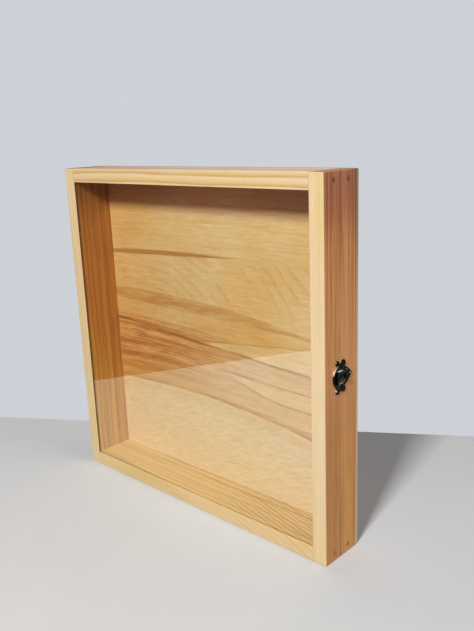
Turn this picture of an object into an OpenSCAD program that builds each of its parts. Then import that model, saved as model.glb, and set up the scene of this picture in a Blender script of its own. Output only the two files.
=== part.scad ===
// Glazed pine display case for fishing lures. It is a shallow square box of boards, sawn
// apart parallel to its front: the front part is a door with a pane in a groove, and the
// rear part is a tray with a plywood back. Two small hinges join them on the left side, and
// a scrolled hasp latch shuts them on the right side.
// The origin is the centre of the footprint. X runs to the right, Y to the back, Z up.

/* [Case] */
// Outside width across the front
case_w = 457.2; // [320:0.1:620]
// Outside height
case_h = 457.2; // [320:0.1:620]
// Thickness of the pine boards
board_t = 19.05; // [16:0.05:25]
// Depth of the boards of the glazed door
door_depth = 30; // [28:0.5:45]
// Depth of the boards of the rear tray
tray_depth = 29.6; // [28:0.1:60]
// Gap between the door and the tray when shut
seam_gap = 0.4; // [0.2:0.1:1]
// Radius of the eased outer edges
edge_round = 1.2; // [0.6:0.1:2.5]
// Radius of the lightly sanded edges at the seam and round the glass
arris_round = 0.5; // [0.3:0.1:1]

/* [Glass] */
// Thickness of the pane
glass_t = 2.4; // [2:0.1:4]
// Wood left in front of the pane
lip_t = 1.6; // [1.2:0.1:5]
// Depth of the groove that holds the pane
groove_depth = 6; // [3:0.5:9]
// Play between the pane and each wall of its groove
glass_play = 0.15; // [0.05:0.05:0.3]
// Play between the pane's edge and the floor of its groove
glass_edge_play = 0.5; // [0.2:0.1:0.9]

/* [Back] */
// Thickness of the plywood back, which lies over the tray's rear edges
back_t = 5; // [3:0.5:9]
// Radius of the nail heads, which lie flush in the back
back_nail_head_r = 1.5; // [1.2:0.1:2.5]
// Thickness of the nail heads
back_nail_head_h = 0.6; // [0.4:0.1:1]
// Radius of the nails in the back
back_nail_r = 0.6; // [0.4:0.05:1]
// Length of the nails in the back
back_nail_l = 19; // [14:1:25]
// Number of nails along each edge of the back
nails_per_edge = 4; // [2:1:8]
// Distance of the outermost nails from the corners
nail_end_inset = 60; // [45:1:90]

/* [Dowels] */
// Radius of the dowels that pin the corners
dowel_r = 3.175; // [2.5:0.025:4]
// How far a dowel reaches into the end of the top or bottom board
dowel_bite = 20; // [12:1:40]
// Distance of the door's dowels behind its front face
door_dowel_inset = 18; // [12:0.5:22]
// Distance of the tray's dowels in front of the plywood back
tray_dowel_inset = 14.8; // [8:0.1:22]
// Glue gap round a dowel, a nail or a screw in its hole
glue_gap = 0.05; // [0.02:0.01:0.1]

/* [Hinges] */
// Height of the hinges
hinge_h = 32; // [28:1:50]
// Width of one leaf, from the pin's axis to its outer edge
hinge_leaf_w = 14; // [12:0.5:20]
// Thickness of the leaves
hinge_leaf_t = 1; // [0.8:0.1:1.4]
// Radius of the outer corners of the leaves
hinge_corner_r = 3; // [1:0.5:5]
// Outer radius of the knuckles
hinge_knuckle_r = 2.2; // [1.9:0.1:3]
// Number of knuckles in a hinge, an odd number
hinge_knuckles = 5; // [3:2:7]
// Radius of the hinge pins
hinge_pin_r = 1; // [0.7:0.05:1.2]
// Distance of the hinges' centres from the top and the bottom
hinge_inset = 92; // [60:1:130]
// Distance between a leaf's two screws
hinge_screw_pitch = 19; // [14:0.5:20]
// Radius of the screws' round heads
hinge_screw_head_r = 2.1; // [1.6:0.1:2.4]
// Height of the screws' round heads
hinge_screw_head_h = 0.8; // [0.5:0.1:1]
// Width of the slots in the screws' heads
hinge_screw_slot_w = 0.6; // [0.4:0.05:0.8]
// Depth of the slots in the screws' heads
hinge_screw_slot_d = 0.5; // [0.3:0.05:0.6]
// Radius of the screws' shanks
hinge_screw_r = 0.9; // [0.6:0.05:1.2]
// Length of the screws below their heads
hinge_screw_l = 11; // [8:0.5:15]

/* [Latch] */
// Thickness of the two latch plates
latch_plate_t = 0.9; // [0.7:0.1:1.2]
// Height of the raised rims and scrolls above the plates
latch_relief = 0.5; // [0.3:0.1:0.6]
// Radius of the door plate's round front
latch_bulge_r = 15.4; // [14.6:0.1:16]
// Radius of the tray plate's round body
latch_body_r = 13; // [12.2:0.1:13.6]
// Reach of the tray plate's pointed tip behind the seam
latch_tip_reach = 20.8; // [19.5:0.1:22]
// Height of the latch's middle above the middle of the side
latch_rise = 0.5; // [-20:0.5:20]
// Number of beads along the door plate's rim
rim_beads = 13; // [7:2:15]
// Radius of the beads along the rim
rim_bead_r = 0.75; // [0.5:0.05:0.8]
// Half the width of the flap
flap_half_w = 7.8; // [6:0.1:8]
// Reach of the flap behind the seam
flap_reach = 9; // [8.6:0.1:9.6]
// Rise of the flap's dome from its edges to its middle
flap_rise = 2.2; // [1.8:0.1:2.4]
// Thickness of the flap
flap_t = 0.9; // [0.7:0.1:1]
// Outer radius of the latch's knuckles
latch_knuckle_r = 1.5; // [1.4:0.1:1.6]
// Half the length of the flap's knuckle
flap_knuckle_half = 4.7; // [4:0.1:5]
// Length of each of the door plate's two knuckles
plate_knuckle_l = 2.6; // [2:0.1:3]
// Radius of the latch's hinge pin
latch_pin_r = 0.6; // [0.4:0.05:0.7]
// Distance of the latch's hinge pin in front of the seam
latch_pin_reach = 8.6; // [8:0.1:9.2]
// Distance of the staple behind the seam
staple_reach = 3.6; // [3.4:0.1:4]
// Radius of the staple's wire
staple_wire_r = 0.7; // [0.5:0.05:0.8]
// Radius of the staple's bend, to the middle of the wire
staple_bend_r = 2.2; // [1.8:0.1:2.4]
// How far the staple stands out of the shut flap
staple_proud = 2.6; // [2:0.1:3]
// Radius of the heads of the tacks in the plates
tack_head_r = 1.2; // [0.9:0.1:1.3]
// Height of the heads of the tacks
tack_head_h = 0.7; // [0.4:0.1:0.9]
// Radius of the shanks of the tacks
tack_r = 0.55; // [0.4:0.05:0.6]
// Length of the tacks below their heads
tack_l = 9; // [6:0.5:14]

/* [Fits] */
// Radial clearance of a pin in its knuckles
pin_play = 0.05; // [0.02:0.01:0.1]
// Gap between neighbouring knuckles, along the pin
knuckle_gap = 0.25; // [0.2:0.05:0.4]
// Clearance between metal parts that swing past each other
swing_gap = 0.3; // [0.3:0.05:0.4]

/* [Hidden] */
$fn = 64;

// Overshoot of a cut past the face that it opens
cut = 1;

// Depths from front to back, placed about the origin
case_depth = door_depth + seam_gap + tray_depth + back_t;
front_y = -case_depth / 2;
door_rear_y = front_y + door_depth;
seam_y = door_rear_y + seam_gap / 2;
tray_front_y = door_rear_y + seam_gap;
back_y = tray_front_y + tray_depth;
right_x = case_w / 2;
opening_w = case_w - 2 * board_t;
opening_h = case_h - 2 * board_t;

// Heights of the two hinges, and the line of their pins, clear of the wood over the seam
upper_hinge_z = case_h - hinge_inset;
lower_hinge_z = hinge_inset;
hinge_axis_x = -right_x - hinge_knuckle_r - swing_gap;
hinge_step = hinge_h / hinge_knuckles;
hinge_screw_y = (hinge_leaf_w + hinge_knuckle_r) / 2;
hinge_pin_head_r = hinge_pin_r + 0.6;
hinge_pin_head_h = 1;

// The latch is drawn in a plane of its own on the right side. Its first axis runs from the
// seam to the back, its second up from the middle of the latch, its third out of the wood
latch_seam = 0.4 + seam_gap / 2;
latch_axis_h = latch_plate_t + swing_gap + latch_knuckle_r;
latch_rim_w = 0.8;
curl_edge = 0.4;
ear_r = 3;
head_curl_r = 3.9;
small_curl_r = 2.2;
leaf_base = 7.5;
leaf_bow = 1.1;
leaf_knob_r = 1.3;
vein_w = 0.7;
bead_ring_r = latch_bulge_r - latch_rim_w - curl_edge - rim_bead_r;
bead_sweep = 104;
latch_pin_half = flap_knuckle_half + knuckle_gap + plate_knuckle_l;
latch_pin_head_r = latch_pin_r + 0.4;
latch_pin_head_h = 0.5;
tack_reach = 3.4;
tack_rise = flap_half_w + swing_gap + tack_head_r + 0.1;

// The flap's arch and dome share one radius, so that they meet smoothly
flap_bend_r = (flap_half_w ^ 2 + flap_rise ^ 2) / (2 * flap_rise);
flap_low_h = latch_plate_t + swing_gap;
flap_apex_h = flap_low_h + flap_t + flap_rise;
flap_bend_h = flap_apex_h - flap_bend_r;
flap_round = flap_reach - flap_half_w;
flap_root = -latch_pin_reach + 0.7 * latch_knuckle_r;
flap_shoulder = -latch_pin_reach + latch_knuckle_r + swing_gap;
lip_bead_r = 0.8;
lip_bead_half = 2;

// The staple, and the slot that lets the flap swing over it
staple_bend_h = flap_apex_h + staple_proud - staple_wire_r - staple_bend_r;
staple_swing = norm([staple_reach + latch_pin_reach, staple_bend_h + staple_bend_r - latch_axis_h]);
slot_near = staple_reach - staple_wire_r - 2 * swing_gap;
slot_far = staple_swing + staple_wire_r + swing_gap - latch_pin_reach;
slot_half = staple_bend_r + staple_wire_r + swing_gap;

// Shared shapes

// Its children, and their mirror image across the plane through the origin square to axis
module both(axis) {
    children();
    mirror(axis) children();
}

// What sanding takes off a square corner at the origin: the corner less a quarter circle
module corner_waste(r) {
    difference() {
        translate([-cut, -cut]) square(r + cut);
        translate([r, r]) circle(r);
    }
}

// A rectangle with its two near corners eased by near_r, unless that is 0, and its two far
// ones by far_r
module eased_rectangle(low, high, near_r, far_r) {
    difference() {
        translate(low) square(high - low);
        if (near_r > 0) {
            translate(low) corner_waste(near_r);
            translate([high.x, low.y]) mirror([1, 0]) corner_waste(near_r);
        }
        translate([low.x, high.y]) mirror([0, 1]) corner_waste(far_r);
        translate(high) rotate(180) corner_waste(far_r);
    }
}

// The outside of one half of the case, which is sanded after it is glued up
module sanded_block(y0, y1, front_r, rear_r) {
    intersection() {
        translate([0, 0, -cut])
            linear_extrude(case_h + 2 * cut)
                eased_rectangle([-right_x, y0], [right_x, y1], front_r, rear_r);
        translate([right_x + cut, 0, 0])
            rotate([0, -90, 0])
                linear_extrude(case_w + 2 * cut)
                    eased_rectangle([0, y0], [case_h, y1], front_r, rear_r);
        translate([0, y1 + cut, 0])
            rotate([90, 0, 0])
                linear_extrude(y1 - y0 + 2 * cut)
                    eased_rectangle([-right_x, 0], [right_x, case_h], edge_round, edge_round);
    }
}

// A low round head on the plane z = 0
module round_head(r, h) {
    bend = (r ^ 2 + h ^ 2) / (2 * h);
    rotate_extrude()
        intersection() {
            translate([0, h - bend]) circle(bend);
            square([r, h]);
        }
}

// A round-headed screw, nail or tack: its head above z = 0 and its pointed shank below
module fastener(head_r, head_h, shank_r, length) {
    point_l = 2 * shank_r;
    round_head(head_r, head_h);
    translate([0, 0, point_l - length]) cylinder(h = length - point_l, r = shank_r);
    translate([0, 0, -length]) cylinder(h = point_l, r1 = shank_r / 4, r2 = shank_r);
}

// A round-headed screw with a slot, turned as far as its driver happened to leave it
module slotted_screw(turn) {
    difference() {
        fastener(hinge_screw_head_r, hinge_screw_head_h, hinge_screw_r, hinge_screw_l);
        translate([0, 0, hinge_screw_head_h])
            rotate(turn)
                cube([4 * hinge_screw_head_r, hinge_screw_slot_w, 2 * hinge_screw_slot_d], center = true);
    }
}

// Boards

// The four dowels of one half, one through each corner and flush with the outside
module corner_dowels(y, gap = 0) {
    both([1, 0, 0])
        for (z = [board_t / 2, case_h - board_t / 2])
            translate([right_x + (gap > 0 ? cut : 0), y, z])
                rotate([0, -90, 0])
                    cylinder(
                        h = board_t + dowel_bite + (gap > 0 ? cut : -glue_gap),
                        r = dowel_r + gap
                    );
}

// The room of an upright board: the left one for side = -1, the right one for side = 1
module upright_room(side, y0, y1) {
    translate([side * (right_x - board_t / 2) - board_t / 2, y0, 0])
        cube([board_t, y1 - y0, case_h]);
}

// The room of a level board between the uprights, with its lower face at z
module level_room(z, y0, y1) {
    translate([-opening_w / 2, y0, z]) cube([opening_w, y1 - y0, board_t]);
}

// The groove that is milled round the opening for the pane
module glass_groove() {
    groove_w = opening_w + 2 * groove_depth;
    groove_h = opening_h + 2 * groove_depth;
    translate([-groove_w / 2, front_y + lip_t, (case_h - groove_h) / 2])
        cube([groove_w, glass_t + 2 * glass_play, groove_h]);
}

// What sanding takes off the front edges round the glass
module opening_arrises() {
    translate([0, front_y, case_h / 2]) {
        both([1, 0, 0])
            translate([opening_w / 2, 0, -opening_h / 2])
                linear_extrude(opening_h)
                    corner_waste(arris_round);
        both([0, 0, 1])
            translate([-opening_w / 2, 0, opening_h / 2])
                rotate([90, 0, 90])
                    linear_extrude(opening_w)
                        corner_waste(arris_round);
    }
}

// One board of the door, cut from its room. Children are further holes
module door_board() {
    difference() {
        intersection() {
            children(0);
            sanded_block(front_y, door_rear_y, edge_round, arris_round);
        }
        glass_groove();
        opening_arrises();
        corner_dowels(front_y + door_dowel_inset, glue_gap);
        if ($children > 1) children(1);
    }
}

// One board of the tray, cut from its room. Children are further holes
module tray_board() {
    difference() {
        intersection() {
            children(0);
            sanded_block(tray_front_y, back_y, arris_round, arris_round);
        }
        corner_dowels(back_y - tray_dowel_inset, glue_gap);
        back_nails(glue_gap);
        if ($children > 1) children(1);
    }
}

module door_left_stile() {
    color("wheat")
        door_board() {
            upright_room(-1, front_y, door_rear_y);
            hinge_screws(-1, glue_gap);
        }
}

module door_right_stile() {
    color("wheat")
        door_board() {
            upright_room(1, front_y, door_rear_y);
            latch_tacks(-1, glue_gap);
        }
}

module door_top_rail() {
    color("wheat") door_board() level_room(case_h - board_t, front_y, door_rear_y);
}

module door_bottom_rail() {
    color("wheat") door_board() level_room(0, front_y, door_rear_y);
}

module door_corner_dowels() {
    color("sienna") corner_dowels(front_y + door_dowel_inset);
}

module glass_pane() {
    pane_w = opening_w + 2 * (groove_depth - glass_edge_play);
    pane_h = opening_h + 2 * (groove_depth - glass_edge_play);
    color("lightcyan", 0.4)
        translate([-pane_w / 2, front_y + lip_t + glass_play, (case_h - pane_h) / 2])
            cube([pane_w, glass_t, pane_h]);
}

module tray_left_side() {
    color("burlywood")
        tray_board() {
            upright_room(-1, tray_front_y, back_y);
            hinge_screws(1, glue_gap);
        }
}

module tray_right_side() {
    color("burlywood")
        tray_board() {
            upright_room(1, tray_front_y, back_y);
            latch_tacks(1, glue_gap);
        }
}

module tray_top_board() {
    color("burlywood") tray_board() level_room(case_h - board_t, tray_front_y, back_y);
}

module tray_bottom_board() {
    color("burlywood") tray_board() level_room(0, tray_front_y, back_y);
}

module tray_corner_dowels() {
    color("sienna") corner_dowels(back_y - tray_dowel_inset);
}

// The plywood back

// One nail in the back, or its hole where gap is more than 0. Its head is flush with z = 0
module back_nail(gap) {
    over = gap > 0 ? cut : 0;
    translate([0, 0, -back_nail_l]) cylinder(h = back_nail_l, r = back_nail_r + gap);
    translate([0, 0, -back_nail_head_h]) cylinder(h = back_nail_head_h + over, r = back_nail_head_r + gap);
}

// The nails round the back, evenly spaced along the middle of each board
module back_nails(gap = 0) {
    along_x = case_w - 2 * nail_end_inset;
    along_z = case_h - 2 * nail_end_inset;
    translate([0, back_y + back_t, case_h / 2])
        for (i = [0 : nails_per_edge - 1]) {
            share = i / (nails_per_edge - 1) - 0.5;
            both([0, 0, 1])
                translate([share * along_x, 0, (case_h - board_t) / 2])
                    rotate([-90, 0, 0])
                        back_nail(gap);
            both([1, 0, 0])
                translate([(case_w - board_t) / 2, 0, share * along_z])
                    rotate([-90, 0, 0])
                        back_nail(gap);
        }
}

module back_panel() {
    color("tan")
        difference() {
            sanded_block(back_y, back_y + back_t, 0, arris_round);
            back_nails(glue_gap);
        }
}

module back_panel_nails() {
    color("silver") back_nails();
}

// Hinges

// The screws of the leaves on one half, or their holes: the door's for side = -1
module hinge_screws(side, gap = 0) {
    for (z = [lower_hinge_z, upper_hinge_z], dz = [-hinge_screw_pitch / 2, hinge_screw_pitch / 2])
        translate([-right_x - hinge_leaf_t, seam_y + side * hinge_screw_y, z + dz])
            rotate([0, -90, 0])
                if (gap > 0) {
                    translate([0, 0, -hinge_screw_l - cut])
                        cylinder(h = hinge_screw_l + 2 * cut, r = hinge_screw_r + gap);
                } else {
                    slotted_screw(17 * (z + dz) + 40 * side);
                }
}

// One leaf at the height z: the tray's for side = 1 has every other knuckle from the ends,
// and the door's for side = -1 has those between
module hinge_leaf(side, z) {
    first = side > 0 ? 0 : 1;
    flat_from = hinge_knuckle_r + swing_gap;
    difference() {
        union() {
            translate([-right_x - hinge_leaf_t, seam_y, z])
                rotate([90, 0, 90])
                    linear_extrude(hinge_leaf_t)
                        mirror([side > 0 ? 0 : 1, 0])
                            intersection() {
                                eased_rectangle(
                                    [-hinge_leaf_w, -hinge_h / 2],
                                    [hinge_leaf_w, hinge_h / 2],
                                    hinge_corner_r,
                                    hinge_corner_r
                                );
                                translate([flat_from, -hinge_h]) square([hinge_leaf_w, 2 * hinge_h]);
                            }
            for (i = [first : 2 : hinge_knuckles - 1])
                translate([hinge_axis_x, seam_y, z - hinge_h / 2 + i * hinge_step + knuckle_gap / 2])
                    hinge_knuckle(side, flat_from);
        }
        translate([hinge_axis_x, seam_y, z - hinge_h / 2 - cut])
            cylinder(h = hinge_h + 2 * cut, r = hinge_pin_r + pin_play);
        hinge_screws(side, glue_gap);
    }
}

// One knuckle, with the strip of the leaf that rolls round into it
module hinge_knuckle(side, flat_from) {
    length = hinge_step - knuckle_gap;
    strip_x = -right_x - hinge_leaf_t - hinge_axis_x;
    cylinder(h = length, r = hinge_knuckle_r);
    translate([strip_x, side > 0 ? 0 : -flat_from - cut, 0]) cube([hinge_leaf_t, flat_from + cut, length]);
}

// A hinge pin with a low round head at each end
module hinge_pin(z) {
    half = (hinge_h - knuckle_gap) / 2 + pin_play;
    translate([hinge_axis_x, seam_y, z]) {
        translate([0, 0, -half]) cylinder(h = 2 * half, r = hinge_pin_r);
        both([0, 0, 1]) translate([0, 0, half]) round_head(hinge_pin_head_r, hinge_pin_head_h);
    }
}

module upper_hinge_tray_leaf() {
    color("dimgray") hinge_leaf(1, upper_hinge_z);
}

module upper_hinge_door_leaf() {
    color("dimgray") hinge_leaf(-1, upper_hinge_z);
}

module upper_hinge_pin() {
    color("gray") hinge_pin(upper_hinge_z);
}

module lower_hinge_tray_leaf() {
    color("dimgray") hinge_leaf(1, lower_hinge_z);
}

module lower_hinge_door_leaf() {
    color("dimgray") hinge_leaf(-1, lower_hinge_z);
}

module lower_hinge_pin() {
    color("gray") hinge_pin(lower_hinge_z);
}

module hinge_tray_screws() {
    color("gray") hinge_screws(1);
}

module hinge_door_screws() {
    color("gray") hinge_screws(-1);
}

// Latch

// Turns the latch's own plane onto the right side of the case
module on_latch_plane() {
    translate([right_x, seam_y, case_h / 2 + latch_rise]) rotate([90, 0, 90]) children();
}

// All of the latch's plane on one side of the seam: the door's for side = -1
module latch_side(side) {
    far = 2 * latch_tip_reach;
    translate([side > 0 ? latch_seam : -far - latch_seam, -far]) square([far, 2 * far]);
}

// A disc less its middle
module ring(r, w) {
    difference() {
        circle(r);
        circle(r - w);
    }
}

// The curled scrolls above and below a plate, each [along, up, radius]
door_curls = [
    [-7.3, latch_bulge_r + 1.5, ear_r],
    [-3.1, latch_bulge_r + 0.2, small_curl_r]
];
tray_curls = [
    [4.3, latch_body_r + 2.3, head_curl_r],
    [9.2, latch_body_r - 6.8, small_curl_r]
];

// The discs that join the curls to a plate
door_necks = [[-6.2, latch_bulge_r - 1.2, 2.6]];
tray_necks = [[3.4, latch_body_r - 1.4, 3]];

// The pointed leaf behind the tray plate, drawn in by inset. Each of its swelling sides is an
// arc from the round body's edge to the point
module leaf(inset) {
    run = latch_tip_reach - leaf_knob_r - leaf_base;
    half_w = sqrt(latch_body_r ^ 2 - leaf_base ^ 2);
    chord = norm([run, half_w]);
    side_r = (chord ^ 2 / 4 + leaf_bow ^ 2) / (2 * leaf_bow);
    sink = (side_r - leaf_bow) / chord;
    intersection() {
        translate([leaf_base / 2, -latch_body_r]) square(2 * latch_body_r);
        translate([leaf_base + run / 2 - sink * half_w, half_w / 2 - sink * run])
            circle(side_r - inset);
        translate([leaf_base + run / 2 - sink * half_w, sink * run - half_w / 2])
            circle(side_r - inset);
    }
}

// The tray plate without its curls, drawn in by inset
module tray_plate_field(inset) {
    intersection() {
        union() {
            circle(latch_body_r - inset);
            leaf(inset);
        }
        latch_side(1);
    }
}

module scroll_discs(discs) {
    both([0, 1, 0])
        for (disc = discs)
            translate([disc[0], disc[1]]) circle(disc[2]);
}

module door_plate_outline() {
    intersection() {
        union() {
            circle(latch_bulge_r);
            scroll_discs(door_curls);
            scroll_discs(door_necks);
        }
        latch_side(-1);
    }
}

module tray_plate_outline() {
    tray_plate_field(0);
    translate([latch_tip_reach - leaf_knob_r, 0]) circle(leaf_knob_r);
    intersection() {
        union() {
            scroll_discs(tray_curls);
            scroll_discs(tray_necks);
        }
        latch_side(1);
    }
}

// A bead on a plate whose face is at z = 0
module bead(r) {
    round_head(r, latch_relief);
    translate([0, 0, -latch_plate_t / 2]) cylinder(h = latch_plate_t / 2, r = r);
}

// A raised curl on a scroll: a ring round a bead
module raised_curl(r) {
    linear_extrude(latch_plate_t + latch_relief) ring(r - curl_edge, latch_rim_w);
    translate([0, 0, latch_plate_t]) bead(r / 3);
}

module raised_curls(curls) {
    both([0, 1, 0])
        for (curl = curls)
            translate([curl[0], curl[1], 0]) raised_curl(curl[2]);
}

// The row of beads just inside the door plate's rim
module bead_row() {
    for (i = [0 : rim_beads - 1])
        rotate(180 + (i / (rim_beads - 1) - 0.5) * bead_sweep)
            translate([bead_ring_r, 0, latch_plate_t])
                bead(rim_bead_r);
}

// The raised edge of the tray plate, and the vein of its leaf
module tray_plate_relief() {
    difference() {
        tray_plate_field(0);
        tray_plate_field(latch_rim_w);
    }
    translate([latch_body_r, -vein_w / 2])
        square([latch_tip_reach - leaf_knob_r - latch_body_r, vein_w]);
}

// The tacks of one plate, or their holes: the door's for side = -1
module latch_tacks(side, gap = 0) {
    on_latch_plane()
        both([0, 1, 0])
            translate([side * tack_reach, tack_rise, latch_plate_t])
                if (gap > 0) {
                    translate([0, 0, -tack_l - cut]) cylinder(h = tack_l + 2 * cut, r = tack_r + gap);
                } else {
                    fastener(tack_head_r, tack_head_h, tack_r, tack_l);
                }
}

// The bore of the latch's hinge pin
module latch_pin_bore() {
    reach = latch_pin_half + cut;
    translate([-latch_pin_reach, reach, latch_axis_h])
        rotate([90, 0, 0])
            cylinder(h = 2 * reach, r = latch_pin_r + pin_play);
}

// One of the door plate's knuckles on its short foot
module plate_knuckle() {
    translate([-latch_pin_reach, latch_pin_half, latch_axis_h])
        rotate([90, 0, 0])
            cylinder(h = plate_knuckle_l, r = latch_knuckle_r);
    translate([-latch_pin_reach - latch_knuckle_r, latch_pin_half - plate_knuckle_l, latch_plate_t / 2])
        cube([2 * latch_knuckle_r, plate_knuckle_l, latch_axis_h - latch_plate_t / 2]);
}

module latch_door_plate() {
    color("saddlebrown")
        difference() {
            on_latch_plane()
                difference() {
                    union() {
                        linear_extrude(latch_plate_t) door_plate_outline();
                        linear_extrude(latch_plate_t + latch_relief)
                            intersection() {
                                ring(latch_bulge_r, latch_rim_w);
                                latch_side(-1);
                            }
                        bead_row();
                        raised_curls(door_curls);
                        both([0, 1, 0]) plate_knuckle();
                    }
                    latch_pin_bore();
                }
            latch_tacks(-1, glue_gap);
        }
}

// The round wire loop that stands through the flap's slot
module staple() {
    translate([staple_reach, 0, 0]) {
        both([0, 1, 0])
            translate([0, staple_bend_r, latch_plate_t / 2])
                cylinder(h = staple_bend_h - latch_plate_t / 2, r = staple_wire_r);
        translate([0, 0, staple_bend_h])
            intersection() {
                rotate([0, 90, 0])
                    rotate_extrude()
                        translate([staple_bend_r, 0])
                            circle(staple_wire_r);
                translate([-staple_bend_r, -2 * staple_bend_r, 0])
                    cube([2 * staple_bend_r, 4 * staple_bend_r, 2 * staple_bend_r]);
            }
    }
}

module latch_tray_plate() {
    color("saddlebrown")
        difference() {
            on_latch_plane() {
                linear_extrude(latch_plate_t) tray_plate_outline();
                linear_extrude(latch_plate_t + latch_relief) tray_plate_relief();
                translate([latch_tip_reach - leaf_knob_r, 0, latch_plate_t]) bead(leaf_knob_r);
                raised_curls(tray_curls);
                staple();
            }
            latch_tacks(1, glue_gap);
        }
}

module latch_door_tacks() {
    color("peru") latch_tacks(-1);
}

module latch_tray_tacks() {
    color("peru") latch_tacks(1);
}

module latch_pin() {
    color("peru")
        on_latch_plane()
            translate([-latch_pin_reach, 0, latch_axis_h])
                both([0, 1, 0]) {
                    rotate([-90, 0, 0]) cylinder(h = latch_pin_half + pin_play, r = latch_pin_r);
                    translate([0, latch_pin_half + pin_play, 0])
                        rotate([-90, 0, 0])
                            round_head(latch_pin_head_r, latch_pin_head_h);
                }
}

// The flap's outline: a tongue with a round end, narrower at its root between the knuckles
module flap_outline() {
    translate([flap_round, 0]) circle(flap_half_w);
    translate([flap_shoulder, -flap_half_w]) square([flap_round - flap_shoulder, 2 * flap_half_w]);
    translate([flap_root, -flap_knuckle_half]) square([flap_round - flap_root, 2 * flap_knuckle_half]);
}

// The solid under the flap's arch and dome, drawn in by inset
module flap_form(inset) {
    translate([flap_root - cut, 0, flap_bend_h])
        rotate([0, 90, 0])
            cylinder(h = flap_round - flap_root + cut, r = flap_bend_r - inset);
    translate([flap_round, 0, flap_bend_h]) sphere(flap_bend_r - inset);
}

module flap_slot() {
    width = slot_far - slot_near;
    middle = (slot_far + slot_near) / 2;
    linear_extrude(2 * flap_apex_h)
        translate([middle, 0]) {
            square([width, 2 * slot_half - width], center = true);
            both([0, 1, 0]) translate([0, slot_half - width / 2]) circle(width / 2);
        }
}

module latch_flap() {
    color("saddlebrown")
        on_latch_plane()
            difference() {
                union() {
                    difference() {
                        intersection() {
                            translate([0, 0, flap_low_h])
                                linear_extrude(flap_apex_h)
                                    flap_outline();
                            flap_form(0);
                        }
                        flap_form(flap_t);
                        flap_slot();
                    }
                    translate([-latch_pin_reach, flap_knuckle_half, latch_axis_h])
                        rotate([90, 0, 0])
                            cylinder(h = 2 * flap_knuckle_half, r = latch_knuckle_r);
                    translate([flap_reach, lip_bead_half, flap_low_h + lip_bead_r])
                        rotate([90, 0, 0])
                            cylinder(h = 2 * lip_bead_half, r = lip_bead_r);
                }
                latch_pin_bore();
            }
}

door_left_stile();
door_right_stile();
door_top_rail();
door_bottom_rail();
door_corner_dowels();
glass_pane();
tray_left_side();
tray_right_side();
tray_top_board();
tray_bottom_board();
tray_corner_dowels();
back_panel();
back_panel_nails();
upper_hinge_tray_leaf();
upper_hinge_door_leaf();
upper_hinge_pin();
lower_hinge_tray_leaf();
lower_hinge_door_leaf();
lower_hinge_pin();
hinge_tray_screws();
hinge_door_screws();
latch_door_plate();
latch_door_tacks();
latch_pin();
latch_flap();
latch_tray_plate();
latch_tray_tacks();
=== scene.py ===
# %% [markdown]
# # A glazed display case for fishing lures
# The case is a shallow pine box that was glued up closed and then sawn apart parallel to
# its front. The front part is a glazed door, the rear part a tray with a plywood back.
# This lesson dresses the CAD model of the case: its boards, pane and fittings are already
# in place, so most of the work is in the finishes. All lengths are in metres, in the frame
# of the CAD model: x to the right, y to the back, z up.

import math

import bmesh
import bpy
import numpy as np
from mathutils import Matrix, Vector


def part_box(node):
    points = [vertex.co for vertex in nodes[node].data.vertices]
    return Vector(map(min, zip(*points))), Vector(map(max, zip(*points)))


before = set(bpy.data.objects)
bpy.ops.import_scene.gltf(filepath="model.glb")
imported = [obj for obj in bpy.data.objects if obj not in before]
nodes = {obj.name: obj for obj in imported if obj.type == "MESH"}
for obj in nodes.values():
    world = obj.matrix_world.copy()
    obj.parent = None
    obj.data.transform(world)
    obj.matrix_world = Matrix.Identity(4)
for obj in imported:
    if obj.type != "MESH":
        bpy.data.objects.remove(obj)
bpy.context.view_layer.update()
MM = 0.001
case_low, case_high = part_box("back_panel")
case_w = case_high.x - case_low.x
case_h = case_high.z
print(f"loaded {len(nodes)} nodes; the case is {case_w:.4f} m wide and {case_h:.4f} m high")

# %% [markdown]
# ## The camera
# The picture was taken by hand from the front right, a little above the case. A camera's
# place can be found by trial, but it is surer to fit it to the corners of the case: the
# fit gives the place, the three angles and the lens. Blender's camera looks along its own
# -z axis, so it is first tipped up by 90 degrees, then by the pitch, then turned by the yaw.

# %% Set up the camera
camera_place = Vector((0.6667, -0.6333, 0.5024))
camera_yaw = math.radians(43.30)
camera_pitch = math.radians(-14.60)
camera_roll = math.radians(-2.27)

camera_data = bpy.data.cameras.new("camera")
camera_data.lens = 40.76
camera_data.clip_start = 0.01
camera = bpy.data.objects.new("camera", camera_data)
camera.matrix_world = (
    Matrix.Translation(camera_place)
    @ Matrix.Rotation(camera_yaw, 4, "Z")
    @ Matrix.Rotation(math.radians(90) + camera_pitch, 4, "X")
    @ Matrix.Rotation(camera_roll, 4, "Z")
)
bpy.context.scene.collection.objects.link(camera)
bpy.context.scene.camera = camera
bpy.context.scene.view_settings.view_transform = "Standard"
print("camera stands", round((camera_place - Vector((0, 0, case_h / 2))).length, 3), "m from the case")

# %% [markdown]
# ## Helpers for the finishes
# Every finish is a chain of shader nodes. Placing nodes one by one makes long listings, so
# a small class keeps the chain short: each of its functions adds one node and returns the
# socket that holds the result, which can be passed on like a number.

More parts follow.
